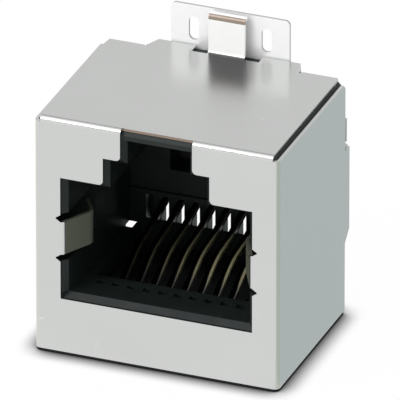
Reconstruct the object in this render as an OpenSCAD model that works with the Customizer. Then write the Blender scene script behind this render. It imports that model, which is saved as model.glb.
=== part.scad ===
// Shielded modular jack for a circuit board behind it. Eight sprung contacts rise from the
// floor of the plug cavity to a comb in its rear wall, and the latch slot is at the top.
// X runs across the mouth, Y from the mouth (y = 0) to the rear, Z up from the base (z = 0).

/* [Shell] */
// Width over the shell's sides
shell_w = 16; // [15.6:0.1:20]
// Depth of the shell's top and sides
shell_d = 11.4; // [11.2:0.1:14]
// Height of the shell from its lower edge to its top
shell_h = 15.9; // [15.8:0.1:19]
// Thickness of the sheet metal
sheet_t = 0.2; // [0.15:0.01:0.25]
// Outer radius of the sheet's bends
bend_r = 0.36; // [0.3:0.01:0.5]
// How far the housing's base stands below the shell's lower edge
foot = 0.2; // [0.2:0.05:0.5]
// Open seam between the top sheet's edge and the outer face of the side
seam_x = 0.4; // [0.38:0.01:0.6]
// Open seam between the side's upper edge and the top face
seam_z = 0.32; // [0.25:0.01:0.5]

/* [Mouth] */
// Height of the mouth's lower edge above the shell's lower edge
sill_h = 3.63; // [3.6:0.01:4]
// Width of the mouth
mouth_w = 12.56; // [12.4:0.02:13]
// Height of the mouth up to the ledges
mouth_h = 8.29; // [7.5:0.01:8.6]
// Width of the step above the ledges
step_w = 6.96; // [6.6:0.02:7.4]
// Height of that step
step_h = 1.84; // [1.4:0.02:2]
// Width of the latch slot
latch_w = 4.7; // [4.66:0.02:5.4]
// Radius on the corners of the ledges and of the step
corner_r = 0.3; // [0.1:0.05:0.4]

/* [Side springs] */
// Width of each side spring
spring_w = 2.22; // [1.6:0.02:3]
// Height of the springs' middle above the mouth's lower edge
spring_z = 4.13; // [3.6:0.01:5]
// Height of the relief notch on each side of a spring
notch_h = 0.5; // [0.3:0.02:0.6]
// How far the relief notches reach into the sheet beside the mouth
notch_x = 0.3; // [0.25:0.01:0.5]
// How far the crest of a spring stands into the mouth
spring_in = 1.23; // [0.8:0.01:1.6]
// Depth of the crest behind the mouth
spring_y = 2.3; // [2:0.05:3.5]
// Length of the spring's end behind its crest
spring_end = 1.5; // [0.8:0.05:1.8]

/* [Rear of the shell] */
// Width of the top sheet's rear extension at its root
over_w = 10.2; // [9.6:0.1:11]
// Length of the top sheet's rear extension
over_d = 1.05; // [1:0.01:1.4]
// Width of the upright tab at the rear of the top
tab_w = 2.4; // [1.6:0.1:3]
// Height of the upright tab above the top face
tab_h = 2.62; // [1.8:0.02:4]
// Distance from the shell's rear edge to the front face of the upright tab
tab_y = 0.5; // [0.45:0.01:0.8]
// Length of the tab's upper end, bent back towards the rear shield
tab_lip = 0.42; // [0.4:0.01:0.5]
// Width of the relief on each side of the upright tab
relief_w = 1; // [0.4:0.1:1.4]
// Length of the rear extension of each side
ear_d = 0.75; // [0.4:0.05:0.9]
// Height of the lower end of those extensions above the shell's lower edge
ear_z = 4.6; // [3:0.1:6]
// Height of those extensions
ear_h = 6.4; // [5:0.1:7]
// Length of the two clinch tabs folded under the base
clinch_d = 3; // [2:0.1:4]

/* [Rear shield] */
// Gap between the shell's rear extension and the rear shield
shield_gap = 0.1; // [0.05:0.01:0.3]
// Width of the rear shield's upper plate
plate_w = 7.78; // [7:0.02:9]
// Height of the rear shield's upper plate above the top face
plate_h = 2.67; // [2.5:0.01:4]
// Distance between the two slots
slot_pitch = 4.78; // [4:0.02:5.6]
// Width of a slot
slot_w = 0.68; // [0.5:0.02:1]
// Length of a slot
slot_h = 1.58; // [1:0.02:1.8]
// Width over the rear shield's ears
ears_w = 15.2; // [14.8:0.1:15.2]
// Height of the rear shield's lower part
lower_h = 5.94; // [5.2:0.02:6.4]

/* [Housing] */
// Side clearance between the housing and the shell
fit = 0.05; // [0.02:0.01:0.1]
// Lead-in chamfer round the cavity
lead_in = 0.34; // [0.2:0.02:0.4]
// Depth of the cavity from the mouth to the comb
cavity_d = 10.65; // [10.3:0.05:11]
// Thickness of the comb wall
comb_t = 0.85; // [0.6:0.05:1.2]
// Height of the comb slots' lower end above the cavity floor
comb_z = 0.46; // [0.3:0.02:0.8]
// Height of the comb slots
comb_h = 1.6; // [1.5:0.02:2]
// Depth of the solid sill in front of the contacts' chamber
sill_d = 3.2; // [3:0.05:3.6]
// Diameter of the two locating pegs
peg_d = 2.2; // [1.6:0.1:2.4]
// Distance between the two locating pegs
peg_pitch = 11.43; // [11.2:0.01:11.8]
// Height of the pegs' axes above the base
peg_z = 5.1; // [4.6:0.1:5.2]
// Length of the pegs behind the board face
peg_l = 2.2; // [1.6:0.1:3.4]

/* [Contacts] */
// Number of contacts
contact_count = 8; // [8:2:8]
// Distance between neighbouring contacts
pitch = 1.02; // [1:0.01:1.04]
// Width of a contact
contact_w = 0.43; // [0.3:0.01:0.48]
// Thickness of a contact
contact_t = 0.25; // [0.2:0.01:0.3]
// Height of the lower row of tails above the base
row_z = 0.9; // [0.8:0.01:1]
// Distance between the two rows of tails
row_gap = 1.27; // [1.2:0.01:1.3]
// Length of the tails behind the board face
tail_l = 2; // [1.4:0.1:4]

/* [Hidden] */
$fn = 48;
slack = 0.01;              // how far a cut runs past the face it opens
tuck = 1;                  // how far a strip starts inside the sheet that it grows from
half_w = shell_w / 2;
top_z = foot + shell_h;    // top face of the shell
sill_z = foot + sill_h;    // lower edge of the mouth
ledge_z = sill_z + mouth_h;
shelf_z = ledge_z + step_h;
top_half = half_w - seam_x;
side_top = top_z - seam_z;
mid_t = sheet_t / 2;
fold_r = bend_r - mid_t;   // radius of a bend at the middle of the sheet

// side springs
spring_mid = sill_z + spring_z;
spring_lean = 26.5;         // lean of a spring towards the cavity
spring_back = 35;          // lean of its end back to the wall
crest_x = mouth_w / 2 - spring_in;
crest_y = spring_y;
crest_r = 0.6;
notch_tip = 0.09;          // radius at the end of a notch

// rear of the shell and the rear shield
over_y = shell_d + over_d;
over_taper = 0.45;                      // the extension narrows by this on each side
over_half = over_w / 2 - over_taper;    // half of its width at its rear edge
tab_mid = shell_d + tab_y + mid_t;
shield_y = over_y + shield_gap;         // front face of the rear shield
shield_mid = shield_y + mid_t;
shield_back = shield_y + sheet_t;
plate_top = top_z + plate_h;
collar_rim = 0.2;                       // width of the collars round the pegs
collar_r = peg_d / 2 + collar_rim;
peg_clear = 0.4;                        // the rear shield ends this far above the collars
lower_z = peg_z + collar_r + peg_clear;
ears_top = lower_z + lower_h;
plate_round = 0.3;
slot_drop = 1.57;                       // from the plate's upper edge to the slots' middle
flap_inset = 0.4;
ear_gap = 0.2;
flap_z = lower_z + flap_inset;
flap_h = foot + ear_z + ear_h - ear_gap - flap_z;
flap_x = half_w - sheet_t - fit / 2 - mid_t;
flap_gap = 0.1;                         // between a flap's front edge and the housing

// housing
body_half = half_w - sheet_t - fit;
body_top = top_z - sheet_t - fit;
body_d = cavity_d + comb_t;
edge_cut = 0.2;                         // chamfer on the housing's front edges
long_cut = 0.3;                         // chamfer on its long upper edges
cavity_w = mouth_w - 2 * lead_in;
floor_z = sill_z + lead_in;
cavity_top = ledge_z - lead_in;
lead_side = 0.3;                        // lead-in beside the step and the latch slot
step_top = shelf_z - lead_side;
latch_roof = 0.5;                       // wall over the latch channel
latch_top = body_top - latch_roof;
pocket_wall = 0.45;                     // wall outside the pockets the springs move in
pocket_x = body_half - pocket_wall;
pocket_end = 1.2;
pocket_d = spring_y + spring_end + pocket_end;
chamber_side = 0.1;
chamber_half = 5 * pitch + chamber_side;  // chamber under the cavity floor
chamber_y = 1.5;
chamber_z = 0.45;
sill_t = 0.25;                          // thickness of the sill over the chamber
wall_step = 0.2;                        // the rear wall stands back above the comb
comb_rim = 0.3;                         // comb above its slots
comb_top = floor_z + comb_z + comb_h + comb_rim;
slot_fit = 0.07;
comb_fall = 0.5;
comb_slot = contact_w + slot_fit;
comb_count = contact_count + 2;
sill_window = 0.5;
boss_half = over_half - fit;
boss_back = over_y + shield_gap - fit;
boss_inset = 0.3;
boss_z = lower_z + boss_inset;
window_half = 3.31;                     // window in the rear wall behind the latch
window_rise = 3.93;
window_z = floor_z + window_rise;
window_h = 5.3;
corner_in = 5.45;                       // windows in the rear corners of the cavity floor
corner_out = 6.5;
corner_d = 0.8;
corner_y = cavity_d - corner_d;
corner_z = 3.1;
stake_x = (window_half + boss_half) / 2;
stake_rise = 3.7;
stake_z = lower_z + stake_rise;
stake_r = 0.5;
stake_head = 0.75;
stake_l = 0.2;
board_gap = 0.1;
board_y = shield_back + stake_l + board_gap;  // face of the circuit board behind the jack
peg_tip = 0.3;
clinch_y = shell_d / 2;
clinch_in = 1.4;
clinch_clear = 0.1;

// contact carrier and contacts
carrier_gap = 0.1;
carrier_y = sill_d + carrier_gap;
carrier_back = body_d - fit;
carrier_z = chamber_z + fit;
carrier_roof = 0.75;                    // carrier above the upper row of tails
carrier_top = row_z + row_gap + carrier_roof;
rib_w = 0.4;
rib_d = 1.1;
rib_drop = 0.45;
rib_top = floor_z - rib_drop;
groove = 0.02;                          // clearance round a contact in the carrier
nose_gap = 0.5;                         // gap in front of the contacts' noses
nose_y = chamber_y + nose_gap;
sill_window_gap = 0.15;
sill_window_y = nose_y + sill_window_gap;  // front edge of the sill's windows
nose_rise = 0.22;
nose_z = carrier_top + nose_rise;
knee_y = 6.2;                           // where a contact's rise eases off
knee_rise = 0.95;
knee_z = floor_z + knee_rise;
dip_y = 8.6;                            // where it starts to rise again towards the comb
dip_rise = 1.25;
dip_z = floor_z + dip_rise;
free_gap = 0.5;                         // free ends stay this far inside the comb
free_y = body_d - free_gap;
comb_stop = 0.03;
free_z = floor_z + comb_z + comb_h - contact_t / 2 - comb_stop;
nose_r = 0.5;
knee_r = 4;
dip_r = 8;
tail_y = board_y + tail_l;

// ---- helpers ----

// Stands an outline drawn in (y, z) along X, centred
module along_x(w) { rotate([90, 0, 90]) linear_extrude(w, center = true) children(); }

// Stands an outline drawn in (x, z) along Y, from y = 0 to y = d
module along_y(d) { translate([0, d, 0]) rotate([90, 0, 0]) linear_extrude(d) children(); }

// A box given by its two corners
module block(a, b) { translate(a) cube(b - a); }

// The same thing on both sides of the jack
module both_sides() { children(); mirror([1, 0, 0]) children(); }

function unit(v) = v / norm(v);
function left_of(d) = [-d.y, d.x];
function turned(p, a) = [p.x * cos(a) - p.y * sin(a), p.x * sin(a) + p.y * cos(a)];

// Points round the corner b of a strip's middle line, moved to its left by off
function corner_points(a, b, c, r, off) =
    let (u = unit(a - b), v = unit(c - b),
         half = acos(u * v) / 2,
         s = sign(cross(b - a, c - b)),
         middle = b + unit(u + v) * r / sin(half),
         first = b + u * r / tan(half) - middle,
         turn = 180 - 2 * half,
         steps = 6)
    [for (i = [0:steps]) middle + turned(first, s * turn * i / steps) * (1 - s * off / r)];

// One side of a strip bent along the corners in path
function side_line(path, radii, off) =
    let (n = len(path))
    concat([path[0] + off * left_of(unit(path[1] - path[0]))],
           [for (i = [1:n - 2]) each
               corner_points(path[i - 1], path[i], path[i + 1], radii[i - 1], off)],
           [path[n - 1] + off * left_of(unit(path[n - 1] - path[n - 2]))]);

function backwards(list) = [for (i = [len(list) - 1:-1:0]) list[i]];

// Outline of a strip of thickness t bent along path
module strip(path, radii, t) {
    polygon(concat(side_line(path, radii, t / 2), backwards(side_line(path, radii, -t / 2))));
}

// A quarter of a bend, in the quadrant +x, +y
module bend_quarter() {
    intersection() {
        difference() {
            circle(bend_r);
            circle(bend_r - sheet_t);
        }
        square(bend_r);
    }
}

// What is taken off to round a corner whose material lies towards -x, -y
module corner_waste(r) {
    difference() {
        translate([-r, -r]) square(r + slack);
        translate([-r, -r]) circle(r);
    }
}

// ---- shell ----

// Stepped opening of the mouth, in (x, z), up to the height z1
module mouth_outline(z1) {
    translate([-mouth_w / 2, sill_z]) square([mouth_w, mouth_h]);
    translate([-step_w / 2, ledge_z - slack]) square([step_w, step_h + slack]);
    translate([-latch_w / 2, shelf_z - slack]) square([latch_w, z1 - shelf_z + slack]);
    for (s = [-1, 1]) {
        // rounded corners of the sheet at the ledges and at the step
        for (corner = [[step_w / 2, ledge_z], [latch_w / 2, shelf_z]])
            translate([s * corner.x, corner.y]) rotate(s > 0 ? 180 : 0)
                mirror([0, s > 0 ? 0 : 1]) corner_waste(corner_r);
        // relief notches beside the springs, tapered to a round end
        for (e = [-1, 1]) translate([s * mouth_w / 2, spring_mid + e * (spring_w + notch_h) / 2]) {
            translate([s * (notch_x - notch_tip), 0]) circle(notch_tip);
            polygon([[-s * slack, notch_h / 2], [s * (notch_x - notch_tip), notch_tip],
                     [s * (notch_x - notch_tip), -notch_tip], [-s * slack, -notch_h / 2]]);
        }
    }
}

module shell_front() {
    difference() {
        along_y(sheet_t) translate([bend_r - half_w, foot])
            square([shell_w - 2 * bend_r, shell_h - bend_r]);
        translate([0, -slack, 0]) along_y(sheet_t + 2 * slack) mouth_outline(top_z + slack);
    }
    // bend and slot at the top
    difference() {
        translate([0, bend_r, top_z - bend_r]) along_x(2 * top_half) mirror([1, 0]) bend_quarter();
        block([-latch_w / 2, -slack, top_z - 2 * bend_r], [latch_w / 2, bend_r, top_z + slack]);
    }
    // bends at the sides
    both_sides() translate([half_w - bend_r, bend_r, foot])
        linear_extrude(side_top - foot) mirror([0, 1]) bend_quarter();
}

module shell_top() {
    rear_cut = 0.8;
    rear_side = 0.1;
    notch = 0.16;
    difference() {
        translate([0, 0, top_z - sheet_t]) linear_extrude(sheet_t) polygon([
            [-top_half, bend_r], [top_half, bend_r],
            [top_half, shell_d - rear_cut], [top_half - rear_side, shell_d],
            [over_w / 2, shell_d], [over_half, over_y],
            [-over_half, over_y], [-over_w / 2, shell_d],
            [rear_side - top_half, shell_d], [-top_half, shell_d - rear_cut]]);
        block([-tab_w / 2 - relief_w, shell_d + tab_y / 2, top_z - tuck],
              [tab_w / 2 + relief_w, over_y + slack, top_z + slack]);
        both_sides() block([over_w / 2 - notch / 2, shell_d - notch, top_z - tuck],
                           [over_w / 2 + notch / 2, shell_d + slack, top_z + slack]);
    }
    // upright tab with its upper end bent back
    along_x(tab_w) strip([[shell_d - tuck, top_z - mid_t], [tab_mid, top_z - mid_t],
                          [tab_mid, top_z + tab_h - mid_t],
                          [tab_mid - mid_t + tab_lip, top_z + tab_h - mid_t]],
                         [fold_r, fold_r], sheet_t);
}

module shell_side() {
    rear_cut = [0.26, 0.3];
    ear_low = foot + ear_z;
    ear_high = ear_low + ear_h;
    translate([half_w - mid_t, 0, 0]) along_x(sheet_t) polygon([
        [bend_r, foot], [shell_d, foot], [shell_d, ear_low],
        [shell_d + ear_d, ear_low + ear_d], [shell_d + ear_d, ear_high], [shell_d, ear_high],
        [shell_d, side_top - rear_cut.y], [shell_d - rear_cut.x, side_top],
        [bend_r, side_top]]);
    // clinch tab folded under the base
    translate([0, clinch_y - clinch_d / 2, 0]) along_y(clinch_d)
        strip([[half_w - mid_t, foot + tuck], [half_w - mid_t, mid_t],
               [half_w - mid_t - clinch_in, mid_t]], [fold_r], sheet_t);
}

// Spring folded into the cavity from the edge of the mouth
module side_spring() {
    root_x = crest_x + crest_y * tan(spring_lean);
    translate([0, 0, spring_mid - spring_w / 2]) linear_extrude(spring_w)
        strip([[half_w - bend_r, mid_t], [root_x, mid_t], [crest_x, crest_y],
               [crest_x + spring_end * sin(spring_back), crest_y + spring_end * cos(spring_back)]],
              [fold_r, crest_r], sheet_t);
}

module shield_shell() {
    color("silver") union() {
        shell_front();
        shell_top();
        both_sides() {
            shell_side();
            side_spring();
        }
    }
}

// ---- rear shield ----

module rear_shield() {
    color("gainsboro") union() {
        translate([0, shield_y, 0]) along_y(sheet_t) difference() {
            union() {
                translate([-plate_w / 2, lower_z]) square([plate_w, plate_top - lower_z]);
                translate([bend_r - flap_x, lower_z]) square([2 * (flap_x - bend_r), lower_h]);
                translate([-ears_w / 2, flap_z + flap_h + ear_gap])
                    square([ears_w, ears_top - flap_z - flap_h - ear_gap]);
            }
            for (s = [-1, 1]) {
                translate([s * plate_w / 2, plate_top]) mirror([s > 0 ? 0 : 1, 0])
                    corner_waste(plate_round);
                translate([s * slot_pitch / 2, plate_top - slot_drop]) {
                    for (e = [-1, 1]) translate([0, e * (slot_h - slot_w) / 2]) circle(d = slot_w);
                    square([slot_w, slot_h - slot_w], center = true);
                }
                translate([s * stake_x, stake_z]) circle(stake_r + fit);
            }
        }
        // flaps that lie inside the shell's rear extensions
        both_sides() translate([0, 0, flap_z]) linear_extrude(flap_h)
            strip([[flap_x - tuck, shield_mid], [flap_x, shield_mid],
                   [flap_x, body_d + flap_gap]], [fold_r], sheet_t);
    }
}

// ---- housing ----

// One channel of the cavity with its lead-in, between the heights z0 and z1
module channel(width, z0, z1, lead, lead_low, lead_high) {
    block([-width / 2, 0, z0], [width / 2, cavity_d, z1]);
    hull() {
        block([-width / 2 - lead, sheet_t - slack, z0 - lead_low],
              [width / 2 + lead, sheet_t, z1 + lead_high]);
        block([-width / 2, sheet_t + lead - slack, z0], [width / 2, sheet_t + lead, z1]);
    }
}

module cavity() {
    channel(cavity_w, floor_z, cavity_top, lead_in, lead_in, lead_in);
    channel(step_w - 2 * lead_side, cavity_top - slack, step_top, lead_side, 0, shelf_z - step_top);
    channel(latch_w - 2 * lead_side, step_top - slack, latch_top, lead_side, 0, 0);
    // the rear wall stands back a little above the comb
    block([-cavity_w / 2, cavity_d - slack, comb_top], [cavity_w / 2, cavity_d + wall_step, cavity_top]);
    // pockets behind the side springs
    both_sides() block([cavity_w / 2 - tuck, sheet_t - slack, spring_mid - spring_w / 2 - notch_h],
                       [pocket_x, pocket_d, spring_mid + spring_w / 2 + notch_h]);
}

// Chamber for the contact carrier, under the sill at the front and open at the rear
module contact_chamber() {
    block([-chamber_half, chamber_y, chamber_z], [chamber_half, sill_d, floor_z - sill_t]);
    block([-chamber_half, sill_d - slack, chamber_z], [chamber_half, cavity_d, floor_z + slack]);
    block([-chamber_half, cavity_d - slack, chamber_z],
          [chamber_half, body_d + slack, carrier_top + fit]);
    for (k = [1:comb_count]) let (x = (k - (comb_count + 1) / 2) * pitch) {
        // window in the sill over the contact's nose
        block([x - sill_window / 2, sill_window_y, floor_z - sill_t - slack],
              [x + sill_window / 2, sill_window_y + sill_window, floor_z + slack]);
        // slot of the comb, whose lower end falls towards the rear
        translate([x, 0, floor_z + comb_z]) along_x(comb_slot) polygon([
            [cavity_d - slack, 0], [body_d + slack, -comb_fall],
            [body_d + slack, comb_h], [cavity_d - slack, comb_h]]);
    }
    both_sides() block([corner_in, corner_y, corner_z],
                       [corner_out, body_d + slack, floor_z + slack]);
}

module housing_outside() {
    intersection() {
        linear_extrude(body_top) polygon([
            [-body_half, body_d], [-body_half, sheet_t + edge_cut],
            [-body_half + edge_cut, sheet_t], [body_half - edge_cut, sheet_t],
            [body_half, sheet_t + edge_cut], [body_half, body_d]]);
        along_x(2 * body_half) polygon([
            [sheet_t, 0], [body_d, 0], [body_d, body_top],
            [sheet_t + edge_cut, body_top], [sheet_t, body_top - edge_cut]]);
        along_y(body_d) polygon([
            [-body_half, 0], [body_half, 0], [body_half, body_top - long_cut],
            [body_half - long_cut, body_top], [long_cut - body_half, body_top],
            [-body_half, body_top - long_cut]]);
    }
    block([-boss_half, body_d - slack, boss_z], [boss_half, boss_back, body_top]);
    both_sides() {
        // collar against the board and locating peg
        translate([peg_pitch / 2, body_d - slack, peg_z]) rotate([-90, 0, 0]) {
            cylinder(h = board_y - body_d + slack, r = collar_r);
            cylinder(h = board_y - body_d + peg_l - peg_tip, d = peg_d);
            translate([0, 0, board_y - body_d + peg_l - peg_tip])
                cylinder(h = peg_tip, d1 = peg_d, d2 = peg_d - 2 * peg_tip);
        }
        // stake that holds the rear shield
        translate([stake_x, boss_back - slack, stake_z]) rotate([-90, 0, 0]) {
            cylinder(h = shield_back - boss_back + slack, r = stake_r);
            translate([0, 0, shield_back - boss_back + slack]) cylinder(h = stake_l, r = stake_head);
        }
    }
}

module housing() {
    color("#14181a") difference() {
        housing_outside();
        cavity();
        contact_chamber();
        block([-window_half, cavity_d - slack, window_z],
              [window_half, boss_back + slack, window_z + window_h]);
        // recesses in the base for the clinch tabs
        both_sides() block([half_w - clinch_in - clinch_clear,
                            clinch_y - clinch_d / 2 - clinch_clear, -slack],
                           [body_half + slack, clinch_y + clinch_d / 2 + clinch_clear,
                            sheet_t + fit]);
    }
}

// ---- contact carrier and contacts ----

// Place of contact k across the jack
function contact_x(k) = (k - (contact_count + 1) / 2) * pitch;

// Height of the tail of contact k: odd ones in the lower row, even ones in the upper row
function tail_z(k) = row_z + (k % 2 == 0 ? row_gap : 0);

module contact_carrier() {
    color("#1d2123") difference() {
        union() {
            block([fit - chamber_half, carrier_y, carrier_z],
                  [chamber_half - fit, carrier_back, carrier_top]);
            // ribs between the contacts where they rise
            for (k = [0:contact_count]) let (x = contact_x(k) + pitch / 2)
                block([x - rib_w / 2, carrier_y, carrier_top - slack],
                      [x + rib_w / 2, carrier_y + rib_d, rib_top]);
        }
        for (k = [1:contact_count])
            block([contact_x(k) - contact_w / 2 - groove, carrier_y - slack,
                   tail_z(k) - contact_t / 2 - groove],
                  [contact_x(k) + contact_w / 2 + groove, carrier_back + slack,
                   tail_z(k) + contact_t / 2 + groove]);
    }
}

module contact(k) {
    color("#b9a878") translate([contact_x(k), 0, 0]) along_x(contact_w)
        strip([[free_y, free_z], [dip_y, dip_z], [knee_y, knee_z], [nose_y, nose_z],
               [nose_y, tail_z(k)], [tail_y, tail_z(k)]],
              [dip_r, knee_r, nose_r, nose_r], contact_t);
}

shield_shell();
rear_shield();
housing();
contact_carrier();
for (k = [1:contact_count])
    contact(k);
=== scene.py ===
# %% [markdown]
# A shielded jack for a circuit board: a folded, tin-plated sheet wraps a black moulded housing
# that holds eight sprung contacts. All of its shapes are solids that arrive finished in the
# frame, so nothing is modelled again here. This script gives the pieces their surfaces, and
# adds the camera, the table and the light. It starts by loading the frame.

# %% Load the frame
import math

import bpy
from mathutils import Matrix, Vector


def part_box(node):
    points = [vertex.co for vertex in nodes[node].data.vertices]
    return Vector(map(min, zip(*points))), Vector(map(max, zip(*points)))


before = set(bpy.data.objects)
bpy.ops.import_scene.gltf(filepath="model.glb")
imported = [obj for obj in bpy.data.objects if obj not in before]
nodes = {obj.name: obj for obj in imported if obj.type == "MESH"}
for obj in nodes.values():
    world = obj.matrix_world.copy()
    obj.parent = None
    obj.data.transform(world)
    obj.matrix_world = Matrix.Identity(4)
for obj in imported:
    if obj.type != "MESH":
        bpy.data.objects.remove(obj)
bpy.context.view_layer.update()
MM = 0.001      # the frame is in metres, and sizes here are thought of in millimetres
contacts = sorted(name for name in nodes if name.startswith("contact_") and name[8:].isdigit())
print("nodes:", sorted(nodes))

# %% [markdown]
# Worn corners and bare cut edges sit at fixed places on the metal, such as a hair below the
# top face. Those places could be typed in as numbers, but a wider or higher shell would then
# leave its worn corners behind. So a few sizes are read back from the nodes, in millimetres,
# and the places further down are worked out from them.

# %% Sizes read from the frame
shell_low, shell_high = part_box("shield_shell")
plate_low, plate_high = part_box("rear_shield")
body_low, body_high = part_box("housing")
WIDE = shell_high.x / MM            # from the middle to the shell's side
TIP = shell_high.z / MM             # upper end of the tab behind the top
BEHIND = plate_high.y / MM          # back of the rear shield
SHEET = 0.2                         # thickness of the sheet
PLAY = 0.05                         # between the sheet and the housing
TOP = body_high.z / MM + PLAY + SHEET
for label, low, high in (("shell", shell_low, shell_high), ("rear shield", plate_low, plate_high),
                         ("housing", body_low, body_high)):
    print(label, "measures", [round(v / MM, 2) for v in high - low], "mm")
print("top face at", round(TOP, 2), "mm")

# %% [markdown]
# A jack is about as big as a fingertip. Seen from near by, its mouth would swell towards the
# viewer, so it is looked at from far off through a long lens and its upright edges stay
# parallel. The camera stands to the right of the mouth and looks down on it. Its place could
# be typed in as it is, but two angles and a distance are easier to think about and to change.

# %% Camera
AZIMUTH = math.radians(21.24)       # round to the right of the mouth
ELEVATION = math.radians(27.10)     # above the table
DISTANCE = 1.05                     # metres, from the point it looks at
FOCAL_MM = 1543.4
LOOK_AT = (0, 5 * MM, 8.2 * MM)     # near the middle of the housing
TO_RIGHT, TO_UP = 0.87, 1.059       # mm, so that tab and shadow share the frame evenly
back = Vector((math.sin(AZIMUTH) * math.cos(ELEVATION),
               -math.cos(AZIMUTH) * math.cos(ELEVATION),
               math.sin(ELEVATION)))
right = Vector((math.cos(AZIMUTH), math.sin(AZIMUTH), 0))
up = back.cross(right)
aim = Vector(LOOK_AT) + right * TO_RIGHT * MM + up * TO_UP * MM
lens = bpy.data.cameras.new("camera")
lens.lens = FOCAL_MM
lens.sensor_width = 36
lens.clip_start = 0.05
lens.clip_end = 20
camera = bpy.data.objects.new("camera", lens)
bpy.context.scene.collection.objects.link(camera)
camera.location = aim + back * DISTANCE
camera.rotation_euler = back.to_track_quat("Z", "Y").to_euler()
bpy.context.scene.camera = camera
print("camera at", [round(v, 3) for v in camera.location])

# %% [markdown]
# A material is a tree of nodes. By hand they are dragged out and wired up, and in code the
# same three steps come back all the time: feed an input, add a node with its settings, and
# do a sum with two values. A helper for each keeps the materials short enough to read.

# %% Helpers for nodes
def feed(tree, socket, value):
    """Feeds an input with a number, a colour of three numbers, or another node's output."""
    if isinstance(value, bpy.types.NodeSocket):
        tree.links.new(value, socket)
    elif socket.type == "RGBA":
        socket.default_value = (*value, 1)
    else:
        socket.default_value = value


def add(tree, kind, **settings):
    """A new node of that kind. Settings name a property, or an input by its name."""
    node = tree.nodes.new(kind)
    for name, value in settings.items():
        if hasattr(node, name):
            setattr(node, name, value)
        else:
            feed(tree, node.inputs[name.replace("_", " ").title()], value)
    return node


def math_node(tree, operation, first, second=0.0):
    """A Math node on two numbers or outputs. Returns its output."""
    node = add(tree, "ShaderNodeMath", operation=operation)
    feed(tree, node.inputs[0], first)
    feed(tree, node.inputs[1], second)
    return node.outputs[0]


print("node helpers: feed, add, math_node")

# %% [markdown]
# What several materials share is built once, as a group of nodes with named inputs and
# outputs, and placed in each of them with its own values. Copying the nodes into every
# material would look the same, but a change would then have to be made in each copy.

# %% Helpers for groups
def new_group(name, inputs, outputs):
    """An empty node group with named inputs, given as (name, type, value), and outputs."""
    group = bpy.data.node_groups.new(name, "ShaderNodeTree")
    for label, kind, value in inputs:
        socket = group.interface.new_socket(label, in_out="INPUT", socket_type=kind)
        if value is not None:
            socket.default_value = value
    for label, kind in outputs:
        group.interface.new_socket(label, in_out="OUTPUT", socket_type=kind)
    entry = group.nodes.new("NodeGroupInput")
    leave = group.nodes.new("NodeGroupOutput")
    return group, entry, leave


def place_group(tree, group, **values):
    """Puts a group in a material, with its own values."""
    node = tree.nodes.new("ShaderNodeGroup")
    node.node_tree = group
    for name, value in values.items():
        node.inputs[name].default_value = value
    return node


print("group helpers: new_group, place_group")

# %% [markdown]
# Rolled strip has very fine lines along the way it was rolled, a faint cloudiness in its
# plating, and a few hair scratches from handling. All the metal here shares these, so they
# are one group. It puts out a tone to multiply the colour by, a roughness and a normal. The
# lines are noise squeezed into long thin cells, because a regular stripe would look printed.
# A scratch is the thin crest of a bent wave, kept only where a second noise is high. Both
# read Object coordinates, the part's own metres, so the pattern stays in its place when the
# part is looked at from another side.

# %% Lines and scratches of the sheet
def object_place(tree):
    """Where on the part a point lies, in metres."""
    return add(tree, "ShaderNodeTexCoord").outputs["Object"]


def noise(tree, vector, scale, detail):
    """Noise between about 0.2 and 0.8, with that many lumps to a metre."""
    node = add(tree, "ShaderNodeTexNoise", scale=scale, detail=detail)
    feed(tree, node.inputs["Vector"], vector)
    return node.outputs["Fac"]


ROLLED_CELLS = (60 / MM, 0.9 / MM, 0.9 / MM)    # thin across the jack, long up and back
CREST = 0.9997                                  # how thin a scratch is
SCRATCHED = 0.62                                # how rare the scratched patches are


def hair_scratches(tree, place):
    """A mask that is 1 on a few thin, slightly bent lines."""
    wave = add(tree, "ShaderNodeTexWave", bands_direction="DIAGONAL", scale=0.26 / MM,
               distortion=14, detail=2, detail_scale=0.6)
    feed(tree, wave.inputs["Vector"], place)
    crest = math_node(tree, "GREATER_THAN", wave.outputs["Fac"], CREST)
    patches = math_node(tree, "GREATER_THAN", noise(tree, place, 0.7 / MM, 2), SCRATCHED)
    return math_node(tree, "MULTIPLY", crest, patches)


print("lines per mm across the sheet:", round(ROLLED_CELLS[0] * MM))

# %% [markdown]
# The group adds the three together. A cloud changes the roughness half as much again as the
# tone, because a duller patch of tin is seen more by its sheen than by its colour. The lines
# stand up and the scratches lie deeper, by far less than a hundredth of a millimetre, so they
# are a bump and no geometry.

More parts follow.
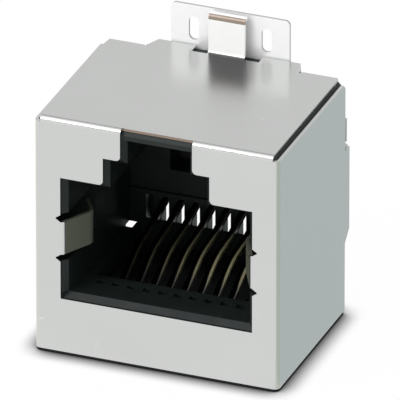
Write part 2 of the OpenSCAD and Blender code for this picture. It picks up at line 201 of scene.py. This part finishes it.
# %% Rolled sheet
def rolled_sheet_group():
    group, entry, leave = new_group(
        "rolled_sheet",
        [("Roughness", "NodeSocketFloat", 0.3), ("Grain", "NodeSocketFloat", 0.05),
         ("Cloud", "NodeSocketFloat", 0.04), ("Scratches", "NodeSocketFloat", 0.2)],
        [("Tone", "NodeSocketFloat"), ("Roughness", "NodeSocketFloat"),
         ("Normal", "NodeSocketVector")])
    place = object_place(group)
    stretch = add(group, "ShaderNodeMapping", vector_type="POINT", scale=ROLLED_CELLS)
    feed(group, stretch.inputs["Vector"], place)
    lines = math_node(group, "SUBTRACT", noise(group, stretch.outputs[0], 1.0, 3), 0.5)
    grain = math_node(group, "MULTIPLY", lines, entry.outputs["Grain"])
    clouds = math_node(group, "SUBTRACT", noise(group, place, 0.35 / MM, 3), 0.5)
    cloud = math_node(group, "MULTIPLY", clouds, entry.outputs["Cloud"])
    scratch = hair_scratches(group, place)
    scratch = math_node(group, "MULTIPLY", scratch, entry.outputs["Scratches"])
    # the tone is 1, more or less by the clouds and the grain, and lighter in a scratch
    tone = math_node(group, "ADD", cloud, grain)
    tone = math_node(group, "ADD", tone, scratch)
    feed(group, leave.inputs["Tone"], math_node(group, "ADD", tone, 1.0))
    rough = math_node(group, "MULTIPLY", cloud, 1.5)
    rough = math_node(group, "ADD", rough, entry.outputs["Roughness"])
    feed(group, leave.inputs["Roughness"], math_node(group, "ADD", rough, grain))
    bump = add(group, "ShaderNodeBump", strength=0.25, distance=0.01 * MM)
    feed(group, bump.inputs["Height"], math_node(group, "SUBTRACT", grain, scratch))
    feed(group, leave.inputs["Normal"], bump.outputs[0])
    return group


rolled_sheet = rolled_sheet_group()
print("group:", rolled_sheet.name)

# %% [markdown]
# Wear, a cut edge or a burnished spot belongs to one place of a piece. Each could be painted
# on, but that needs a flat layout of the piece and an image. The jack's faces lie square to
# its axes, so a box in space with sharp limits picks such a place out just as well: the mask
# is 1 where a point of the surface is inside the box.

# %% Places on a piece
def separated(tree, vector):
    """A node whose outputs are the vector's three numbers."""
    parts = add(tree, "ShaderNodeSeparateXYZ")
    feed(tree, parts.inputs[0], vector)
    return parts


def inside_box_group():
    group, entry, leave = new_group(
        "inside_box",
        [("Low", "NodeSocketVector", None), ("High", "NodeSocketVector", None)],
        [("Inside", "NodeSocketFloat")])
    spot = separated(group, object_place(group))
    low = separated(group, entry.outputs["Low"])
    high = separated(group, entry.outputs["High"])
    inside = 1.0
    for axis in range(3):
        over = math_node(group, "GREATER_THAN", spot.outputs[axis], low.outputs[axis])
        under = math_node(group, "LESS_THAN", spot.outputs[axis], high.outputs[axis])
        both = math_node(group, "MULTIPLY", over, under)
        inside = math_node(group, "MULTIPLY", inside, both)
    feed(group, leave.inputs["Inside"], inside)
    return group


inside_box = inside_box_group()


def boxed(tree, *boxes):
    """A mask that is 1 inside any of the boxes, each two corners in millimetres."""
    mask = 0.0
    for low, high in boxes:
        box = place_group(tree, inside_box, Low=[v * MM for v in low], High=[v * MM for v in high])
        mask = math_node(tree, "MAXIMUM", mask, box.outputs[0])
    return mask


print("group:", inside_box.name)

# %% [markdown]
# Each finish below ends in one Principled shader, which takes a colour, a roughness and a
# normal. A finished material is then put in the slots of the pieces that wear it. A piece
# from the frame already has a slot, and its plain material is replaced there, so the slots
# stay as they were counted.

# %% Helpers for finishes
def new_material(name, color):
    """A material with a Principled shader, and its tree and shader."""
    material = bpy.data.materials.new(name)
    material.use_nodes = True
    material.diffuse_color = (*color, 1)
    tree = material.node_tree
    shader = tree.nodes["Principled BSDF"]
    feed(tree, shader.inputs["Base Color"], color)
    return material, tree, shader


def finish_off(tree, shader, color, skin):
    """Gives the shader its colour, and the roughness and normal of a placed group."""
    feed(tree, shader.inputs["Base Color"], color)
    feed(tree, shader.inputs["Roughness"], skin.outputs["Roughness"])
    feed(tree, shader.inputs["Normal"], skin.outputs["Normal"])


def dress(node_name, material):
    """Gives a CAD node that material, in its own material slots."""
    piece = nodes[node_name]
    if not piece.material_slots:
        piece.data.materials.append(material)
    for slot in piece.material_slots:
        slot.material = material
    print("dressed", node_name, "in", material.name)


print("finish helpers: new_material, finish_off, dress")

# %% [markdown]
# Inside a material, colours are laid over one another as coats of paint are, each through a
# mask. The tone of a group multiplies a colour instead, which keeps its hue.

# %% Helpers for colours
def mixed(tree, mask, under, over, blend="MIX"):
    """The colour under where the mask is 0, and over where it is 1."""
    mix = add(tree, "ShaderNodeMix", data_type="RGBA", blend_type=blend)
    for number, value in ((0, mask), (6, under), (7, over)):
        feed(tree, mix.inputs[number], value)
    return mix.outputs[2]


def toned(tree, color, tone):
    """The colour made lighter or darker by a tone round 1."""
    return mixed(tree, 1.0, color, tone, "MULTIPLY")


print("colour helpers: mixed, toned")

# %% [markdown]
# The shell is one sheet of copper alloy, plated before it was stamped and folded. So it is
# light and satin all over, and bare brown metal shows where the press cut it: along the slot
# in the top and on the lip of the upright tab, where the brown also runs over the lip's bend
# as a painted reflection of the cut end. A broken dark line along the front bend is a painted
# reflection in the bend's highlight, the two front corners carry a warm painted tint of the
# highlight on their bends, and the tab is painted bright, as if lit from the top face below it.
# The two side springs are darker and less metallic than the rest of the sheet. First come the
# tones and their places.

# %% Tones and places of the shell
SHELL_TONE = (0.635, 0.645, 0.635)
CORNER_HIGHLIGHT_TINT = (0.64, 0.65, 0.585)       # painted highlight: a warm tint where the sides are bent back
CROWN_REFLECTION_TONE = (0.30, 0.30, 0.28)         # painted reflection: a broken dark line in the front bend's highlight
# painted light: the tab as lit from the top face below it
TAB_LIT_TONE = (0.98, 0.98, 0.97)
TAB_REFLECTION_SHADE = (0.09, 0.09, 0.09)       # painted shade: the tab's dark reflection in the top face
# darker and less metallic than the rest of the sheet
SPRING_TONE = (0.215, 0.23, 0.18)
BARE_TONE = (0.30, 0.235, 0.19)         # copper alloy where the plating is cut away
TAB_MATT, SPRING_MATT = 0.8, 0.5        # how much less metallic they are than the sheet
SLOT = 2.4                              # from the middle to the latch slot's side
CORNERS = (((-WIDE - 0.01, -0.01, 0.1), (-WIDE + 0.20, 0.30, TOP - 0.3)),
           ((WIDE - 0.20, -0.01, 0.1), (WIDE + 0.01, 0.30, TOP - 0.3)))
CROWNS = (((-WIDE + 0.4, 0.0, TOP - 0.155), (-SLOT, 0.2, TOP - 0.11)),
          ((SLOT, 0.0, TOP - 0.155), (WIDE - 0.4, 0.2, TOP - 0.11)))
SPRINGS = ((-6.27, 0.22, 4.0), (6.27, 5.0, 12.0))
TAB = ((-1.3, 11.8, TOP + 0.02), (1.3, 12.5, TIP + 0.18))
SLOT_EDGE = ((-SLOT, 0.30, TOP - 0.22), (SLOT, 0.37, TOP - 0.02))
# the lip's cut end is bare metal, and the brown over the lip's bend is a painted reflection of it
TAB_EDGE_AND_REFLECTION = ((-1.21, 11.80, TIP - 0.38), (1.21, 12.08, TIP + 0.08))
print("slot edge, mm:", [[round(v, 2) for v in corner] for corner in SLOT_EDGE])

# %% [markdown]
# Bright metal mirrors whatever is round it, and the tab and the springs scatter light instead,
# so these two are less metallic than the sheet. The tab's bright tone is painted light, for the
# light that the top face throws up onto it. The top face mirrors the tab, and there a painted
# shade stands in for the shade below the tab, so rays that come off shiny metal find the tab
# dark, while the eye sees its painted bright face.

# %% Shell metal
def shell_metal():
    material, tree, shader = new_material("shell_metal", SHELL_TONE)
    skin = place_group(tree, rolled_sheet, Roughness=0.24, Grain=0.04, Cloud=0.04, Scratches=0.12)
    color = toned(tree, SHELL_TONE, skin.outputs["Tone"])
    color = mixed(tree, boxed(tree, *CORNERS), color, CORNER_HIGHLIGHT_TINT)
    # the painted reflection line is broken where a noise of five lumps to a millimetre is low
    broken = math_node(tree, "GREATER_THAN", noise(tree, object_place(tree), 5 / MM, 2), 0.47)
    reflection_line = math_node(tree, "MULTIPLY", broken, boxed(tree, *CROWNS))
    color = mixed(tree, reflection_line, color, CROWN_REFLECTION_TONE)
    tab = boxed(tree, TAB)
    springs = boxed(tree, SPRINGS)
    color = mixed(tree, tab, color, TAB_LIT_TONE)
    color = mixed(tree, springs, color, SPRING_TONE)
    metal = math_node(tree, "SUBTRACT", 1.0, math_node(tree, "MULTIPLY", tab, TAB_MATT))
    metal = math_node(tree, "SUBTRACT", metal, math_node(tree, "MULTIPLY", springs, SPRING_MATT))
    feed(tree, shader.inputs["Metallic"], metal)
    path = add(tree, "ShaderNodeLightPath")
    tab_reflection_shade = math_node(tree, "MULTIPLY", tab, path.outputs["Is Glossy Ray"])
    color = mixed(tree, tab_reflection_shade, color, TAB_REFLECTION_SHADE)
    color = mixed(tree, boxed(tree, SLOT_EDGE, TAB_EDGE_AND_REFLECTION), color, BARE_TONE)
    finish_off(tree, shader, color, skin)
    return material


dress("shield_shell", shell_metal())

# %% [markdown]
# The rear shield is stamped from smoother and brighter strip, and stays flat, so it has no
# bend marks. Seen from the front its upper half is the palest thing on the jack. It is mostly
# matt, because a clean mirror would show the tent's seam in it. Two places are darker: the
# grey cut edges between its two faces, and the patch that shows through the window behind the
# latch, which is painted shade, as that window lies in shadow. Both are boxes again, which is
# enough for straight edges and a plain patch.

# %% Rear shield metal
PLATE_TONE = (0.96, 0.96, 0.96)
EDGE_TONE = (0.42, 0.42, 0.42)
# painted shade: the plate seen through the shaded window
WINDOW_SHADE_TONE = (0.03, 0.03, 0.03)
PLATE_EDGES = ((-WIDE, BEHIND - 0.185, 6.0), (WIDE, BEHIND - 0.015, 19.0))
WINDOW_SHADE_PATCH = ((-3.4, BEHIND - 0.25, 8.0), (3.4, BEHIND - 0.15, TOP - 0.3))


def plate_metal():
    material, tree, shader = new_material("plate_metal", PLATE_TONE)
    feed(tree, shader.inputs["Metallic"], 0.2)
    skin = place_group(tree, rolled_sheet, Roughness=0.3, Grain=0.03, Cloud=0.03, Scratches=0.1)
    color = toned(tree, PLATE_TONE, skin.outputs["Tone"])
    color = mixed(tree, boxed(tree, PLATE_EDGES), color, EDGE_TONE)
    color = mixed(tree, boxed(tree, WINDOW_SHADE_PATCH), color, WINDOW_SHADE_TONE)
    finish_off(tree, shader, color, skin)
    return material


dress("rear_shield", plate_metal())

# %% [markdown]
# The housing and the contact carrier are moulded from black plastic filled with glass fibre.
# The mould is spark eroded, which gives the surface a fine texture and a soft sheen, and the
# plastic's flow leaves slightly duller and shinier areas. The texture is far too fine for
# geometry, so it is a bump, and both black pieces share it as a group.

# %% Moulded skin
def moulded_skin_group():
    group, entry, leave = new_group(
        "moulded_skin",
        [("Roughness", "NodeSocketFloat", 0.45), ("Texture", "NodeSocketFloat", 0.3)],
        [("Roughness", "NodeSocketFloat"), ("Tone", "NodeSocketFloat"),
         ("Normal", "NodeSocketVector")])
    place = object_place(group)
    flow = math_node(group, "SUBTRACT", noise(group, place, 0.6 / MM, 4), 0.5)
    rough = math_node(group, "MULTIPLY", flow, 0.3)
    rough = math_node(group, "ADD", rough, entry.outputs["Roughness"])
    feed(group, leave.inputs["Roughness"], rough)
    tone = math_node(group, "MULTIPLY", flow, 0.8)
    feed(group, leave.inputs["Tone"], math_node(group, "ADD", tone, 1.0))
    spark = noise(group, place, 22 / MM, 2)
    bump = add(group, "ShaderNodeBump", strength=0.3, distance=0.02 * MM)
    feed(group, bump.inputs["Height"],
         math_node(group, "MULTIPLY", spark, entry.outputs["Texture"]))
    feed(group, leave.inputs["Normal"], bump.outputs[0])
    return group


moulded_skin = moulded_skin_group()
print("group:", moulded_skin.name)

# %% [markdown]
# Black plastic is never quite black: the housing has a slightly green tone, and the carrier
# deep inside is darker and duller. The lower lead-in at the mouth is given a darker tone than
# the rest of the housing. Its slope would mirror the front light like the other slopes, so its
# own tone is next to nothing and the sheen makes up all that is seen of it.

# %% Black moulded plastic
HOUSING_TONE = (0.012, 0.017, 0.016)
CARRIER_TONE = (0.007, 0.009, 0.009)
# darker than the rest of the housing
LIP_TONE = (0.0, 0.004, 0.004)
LIP = ((-6.7, 0.19, 3.7), (6.7, 0.56, 4.168))


def black_plastic(name, color, roughness):
    material, tree, shader = new_material(name, color)
    feed(tree, shader.inputs["Specular IOR Level"], 0.26)
    skin = place_group(tree, moulded_skin, Roughness=roughness, Texture=0.3)
    color = toned(tree, color, skin.outputs["Tone"])
    color = mixed(tree, boxed(tree, LIP), color, LIP_TONE)
    finish_off(tree, shader, color, skin)
    return material


dress("housing", black_plastic("housing_plastic", HOUSING_TONE, 0.42))
dress("contact_carrier", black_plastic("carrier_plastic", CARRIER_TONE, 0.5))

# %% [markdown]
# A coating or a shadow seldom ends at a line. A ramp node gives the soft change that all of
# them need: it turns a span of some value, such as a depth, into 0 to 1. A box's sharp limits
# were right for a cut edge, and would be wrong for the gold below.

# %% Helper for soft changes
def ramp(tree, value, span, ends=(0, 1), soft=True):
    """Turns a span of the value, given by its limits, into 0 to 1 or the given ends."""
    node = add(tree, "ShaderNodeMapRange", from_min=span[0], from_max=span[1],
               to_min=ends[0], to_max=ends[1])
    node.interpolation_type = "SMOOTHSTEP" if soft else "LINEAR"
    feed(tree, node.inputs["Value"], value)
    return node.outputs[0]


print("helper for soft changes: ramp")

# %% [markdown]
# A contact is a formed strip of copper alloy, with a flash of gold on the slope that the plug
# touches and dull tin on its tail. Both changes run along the jack's depth, so they follow
# the Y coordinate, and the gold also stops where the strip dips into the carrier. A second
# material for each zone would draw a hard line where the real coating fades out.

# %% Gold zone of the contacts
GOLD_TONE = (0.50, 0.46, 0.27)
ALLOY_TONE = (0.20, 0.21, 0.19)
TIN_TONE = (0.62, 0.61, 0.58)
GOLD_STARTS = (3.6 * MM, 5.2 * MM)      # in depth, from the mouth
GOLD_ENDS = (7.6 * MM, 9.4 * MM)        # in depth, towards the comb
GOLD_RISES = (3.2 * MM, 3.6 * MM)       # in height, where it leaves the carrier
TAILS_START = 11.4 * MM


def gold_zone(tree, spot):
    """A mask that is 1 where the plug touches a contact."""
    starts = ramp(tree, spot.outputs["Y"], GOLD_STARTS)
    ends = ramp(tree, spot.outputs["Y"], GOLD_ENDS, (1, 0))
    rises = ramp(tree, spot.outputs["Z"], GOLD_RISES)
    zone = math_node(tree, "MULTIPLY", starts, ends)
    return math_node(tree, "MULTIPLY", zone, rises)


print("gold from", GOLD_STARTS[0] / MM, "to", round(GOLD_ENDS[1] / MM, 2), "mm behind the mouth")

# %% [markdown]
# A thin light line along the right of each contact is a painted highlight, for the light that
# the rounded edge of the cut strip catches. It is painted stronger on the side where the light
# falls in, and wider on the gold. Rounding the solids would be the other way, but an edge of a
# few hundredths of a millimetre needs very many faces. All eight contacts share one material:
# the place across the jack, counted in pitches, says how far a point is from its contact's
# middle.

# %% Painted edge highlight of the contacts
PITCH = 1.02 * MM                       # distance between neighbouring contacts
LIT_SIDE = (-4.0 * MM, 1.5 * MM)        # painted highlight: the light reaches more and more of them
LEAST_LIT = 0.2
HIGHLIGHT_STRIP = (0.10, 0.19)               # in pitches from the contact's middle
HIGHLIGHT_WIDENING = 0.11                           # how much wider the painted highlight is on the gold


def painted_edge_highlight(tree, spot, gold):
    """A mask of the painted highlight along the right of each contact."""
    lit = ramp(tree, spot.outputs["X"], LIT_SIDE, (LEAST_LIT, 1), soft=False)
    across = math_node(tree, "DIVIDE", spot.outputs["X"], PITCH)
    across = math_node(tree, "ADD", across, 0.5)
    across = math_node(tree, "FRACT", across)
    right_half = math_node(tree, "LESS_THAN", across, 0.5)
    wider = math_node(tree, "MULTIPLY", gold, lit)
    wider = math_node(tree, "MULTIPLY", wider, HIGHLIGHT_WIDENING)
    edge = ramp(tree, math_node(tree, "ADD", across, wider), HIGHLIGHT_STRIP)
    edge = math_node(tree, "MULTIPLY", edge, right_half)
    return math_node(tree, "MULTIPLY", edge, lit)


print("light line from", HIGHLIGHT_STRIP[0], "of a pitch off each contact's middle")

# %% [markdown]
# The flats between the light lines mirror the dark cavity, and that darkness is painted into
# them as a dark metal colour. The painted light lines and the tinned tails are matt instead,
# because a mirror of their width would only show the black plastic next to them.

# %% Contact metal
# painted shade: the dark cavity that the flats mirror
FLAT_SHADE_TONE = (0.07, 0.07, 0.06)
LIGHT_MATT = 0.6                        # how much less metallic the light places are


def contact_metal():
    material, tree, shader = new_material("contact_metal", GOLD_TONE)
    skin = place_group(tree, rolled_sheet, Roughness=0.16, Grain=0.1, Cloud=0.1, Scratches=0.0)
    spot = separated(tree, object_place(tree))
    gold = gold_zone(tree, spot)
    tail = math_node(tree, "GREATER_THAN", spot.outputs["Y"], TAILS_START)
    bright = math_node(tree, "MAXIMUM", painted_edge_highlight(tree, spot, gold), tail)
    coating = mixed(tree, gold, ALLOY_TONE, GOLD_TONE)
    coating = mixed(tree, tail, coating, TIN_TONE)
    color = toned(tree, mixed(tree, bright, FLAT_SHADE_TONE, coating), skin.outputs["Tone"])
    metal = math_node(tree, "SUBTRACT", 1.0, math_node(tree, "MULTIPLY", bright, LIGHT_MATT))
    feed(tree, shader.inputs["Metallic"], metal)
    finish_off(tree, shader, color, skin)
    return material


gold_flash = contact_metal()
for name in contacts:
    dress(name, gold_flash)

# %% [markdown]
# The jack stands on a white table. A lit white plane would turn grey away from the lamp and
# show a line against the background, so the camera sees the table glow evenly white, darker
# only within a millimetre or two of the jack's foot. That soft shadow comes from how much of
# the sky the jack hides there. Metal mirrors the table as well. The stretch that the jack's
# right side mirrors, beyond a slanting line under it, is given a greyer white, as from a
# table that is less lit there, and this is what sets that side off from the front.

# %% Floor
bpy.ops.object.select_all(action="DESELECT")
bpy.ops.mesh.primitive_plane_add(size=1.2, location=(0, 0, 0))
floor = bpy.context.object
floor.name = "floor"
FLOOR_WHITE = (0.9, 0.9, 0.9)
FLOOR_FAR = (0.605, 0.66, 0.66)
FAR_WAY = (0.707, 0.707, 0)                 # to the right and the rear
FAR_STARTS = (4.2 * MM, 7.2 * MM)           # that way, from the middle of the mouth
SHADOW_REACH = 1.5 * MM
SHADOW_RAMP = (0.46, 0.96)                  # open sky that counts as none, and as all
GLOW_SHARE = 0.97                           # the rest is the lit plane itself


def foot_shadow(tree):
    """1 in the open, and less where the jack hides the sky."""
    nearby = add(tree, "ShaderNodeAmbientOcclusion", samples=16, distance=SHADOW_REACH)
    return ramp(tree, nearby.outputs["AO"], SHADOW_RAMP, soft=False)


def far_side(tree):
    """1 beyond the slanting line, on the stretch that the jack's right side mirrors."""
    toward = add(tree, "ShaderNodeVectorMath", operation="DOT_PRODUCT")
    feed(tree, toward.inputs[0], object_place(tree))
    feed(tree, toward.inputs[1], FAR_WAY)
    return ramp(tree, toward.outputs["Value"], FAR_STARTS)


print("floor:", [round(v, 2) for v in floor.dimensions], "m")

# %% [markdown]
# Two shaders are mixed: the plain white plane, which catches light and shade for everything
# round it, and the glow, which is shown to the camera, to mirrors and through clear things.
# Which of them a ray meets comes from the Light Path node.

# %% Floor white
def floor_white():
    material, tree, shader = new_material("floor_white", FLOOR_WHITE)
    feed(tree, shader.inputs["Roughness"], 0.9)
    feed(tree, shader.inputs["Specular IOR Level"], 0.0)
    path = add(tree, "ShaderNodeLightPath")
    seen = path.outputs["Is Camera Ray"]
    glow = add(tree, "ShaderNodeEmission")
    level = add(tree, "ShaderNodeMix", data_type="FLOAT")
    for number, value in ((0, seen), (2, 1.0), (3, foot_shadow(tree))):
        feed(tree, level.inputs[number], value)
    feed(tree, glow.inputs["Strength"], level.outputs[0])
    # the far side is greyer in mirrors only
    shaded = math_node(tree, "MAXIMUM", math_node(tree, "SUBTRACT", far_side(tree), seen), 0.0)
    feed(tree, glow.inputs["Color"], mixed(tree, shaded, (1, 1, 1), FLOOR_FAR))
    glowing = math_node(tree, "MAXIMUM", seen, path.outputs["Is Glossy Ray"])
    glowing = math_node(tree, "MAXIMUM", glowing, path.outputs["Is Transmission Ray"])
    both = add(tree, "ShaderNodeMixShader")
    feed(tree, both.inputs[0], math_node(tree, "MULTIPLY", glowing, GLOW_SHARE))
    tree.links.new(shader.outputs[0], both.inputs[1])
    tree.links.new(glow.outputs[0], both.inputs[2])
    tree.links.new(both.outputs[0], tree.nodes["Material Output"].inputs["Surface"])
    return material


floor.data.materials.append(floor_white())
print("floor wears", floor.data.materials[0].name)

# %% [markdown]
# The world is a light tent: pale walls all round, a brighter sheet overhead, and the dark
# opening that the jack is looked at through. Metal mirrors it, so these slow changes are what
# tell the faces apart, and they draw the bright and dark lines along each bend. A picture of
# a studio could be wrapped round the scene instead, but a few soft spots, each given by a
# direction and two angles, say the same and can be moved one at a time. The camera itself
# sees the tent as plain white.

# %% World
WALL_LEVEL = 0.84
# direction, angle of full strength and of none in degrees, and what it adds to the walls
SKY_SPOTS = (((-0.3, -0.40, 0.85), 10, 32, 0.7),     # sheet overhead
             ((-0.3, -0.95, 0.05), 8, 22, 0.3),      # lamp low in front
             ((-0.3, -0.82, 0.48), 4, 18, -0.35),    # opening for the viewer
             ((-0.3, 0.55, 0.78), 3, 11, -0.6))      # seam of the tent behind


def soft_spot(tree, ray, direction, inner, outer):
    """A soft round spot of the sky: 1 inside the inner angle, 0 outside the outer one."""
    toward = add(tree, "ShaderNodeVectorMath", operation="DOT_PRODUCT")
    feed(tree, toward.inputs[0], ray)
    feed(tree, toward.inputs[1], Vector(direction).normalized())
    return ramp(tree, toward.outputs["Value"],
                (math.cos(math.radians(outer)), math.cos(math.radians(inner))))


def soft_world():
    world = bpy.data.worlds.new("soft_world")
    bpy.context.scene.world = world
    world.use_nodes = True
    tree = world.node_tree
    sky = tree.nodes["Background"]
    ray = add(tree, "ShaderNodeTexCoord").outputs["Generated"]
    level = WALL_LEVEL
    for direction, inner, outer, gain in SKY_SPOTS:
        spot = soft_spot(tree, ray, direction, inner, outer)
        level = math_node(tree, "ADD", level, math_node(tree, "MULTIPLY", spot, gain))
    path = add(tree, "ShaderNodeLightPath")
    strength = add(tree, "ShaderNodeMix", data_type="FLOAT")
    for number, value in ((0, path.outputs["Is Camera Ray"]), (2, level), (3, 1.0)):
        feed(tree, strength.inputs[number], value)
    feed(tree, sky.inputs["Strength"], strength.outputs[0])
    feed(tree, sky.inputs["Color"], (1, 1, 1))
    return world


print("world:", soft_world().name, "with", len(SKY_SPOTS), "soft spots")

# %% [markdown]
# A tent alone lights all sides alike. One large square lamp at the front left gives the light
# a side, so the front is a little brighter than the right, and it reaches into the mouth.
# A small lamp would do this too, but with hard shadows, which a lit tent never has.

# %% Lamp
LAMP_PLACE = (-0.22, -0.25, 0.30)
LAMP_SIZE = 0.16
LAMP_POWER = 0.62                           # watts
LIT_POINT = (0, 5 * MM, 8 * MM)             # the middle of the jack
shine = bpy.data.lights.new("key", "AREA")
shine.shape = "SQUARE"
shine.size = LAMP_SIZE
shine.energy = LAMP_POWER
lamp = bpy.data.objects.new("key", shine)
bpy.context.scene.collection.objects.link(lamp)
lamp.location = LAMP_PLACE
lamp.rotation_euler = (Vector(LAMP_PLACE) - Vector(LIT_POINT)).to_track_quat("Z", "Y").to_euler()

# %% [markdown]
# Last, the colours are shown as they are, through the Standard view transform.

# %% Finish
scene = bpy.context.scene
scene.view_settings.view_transform = "Standard"
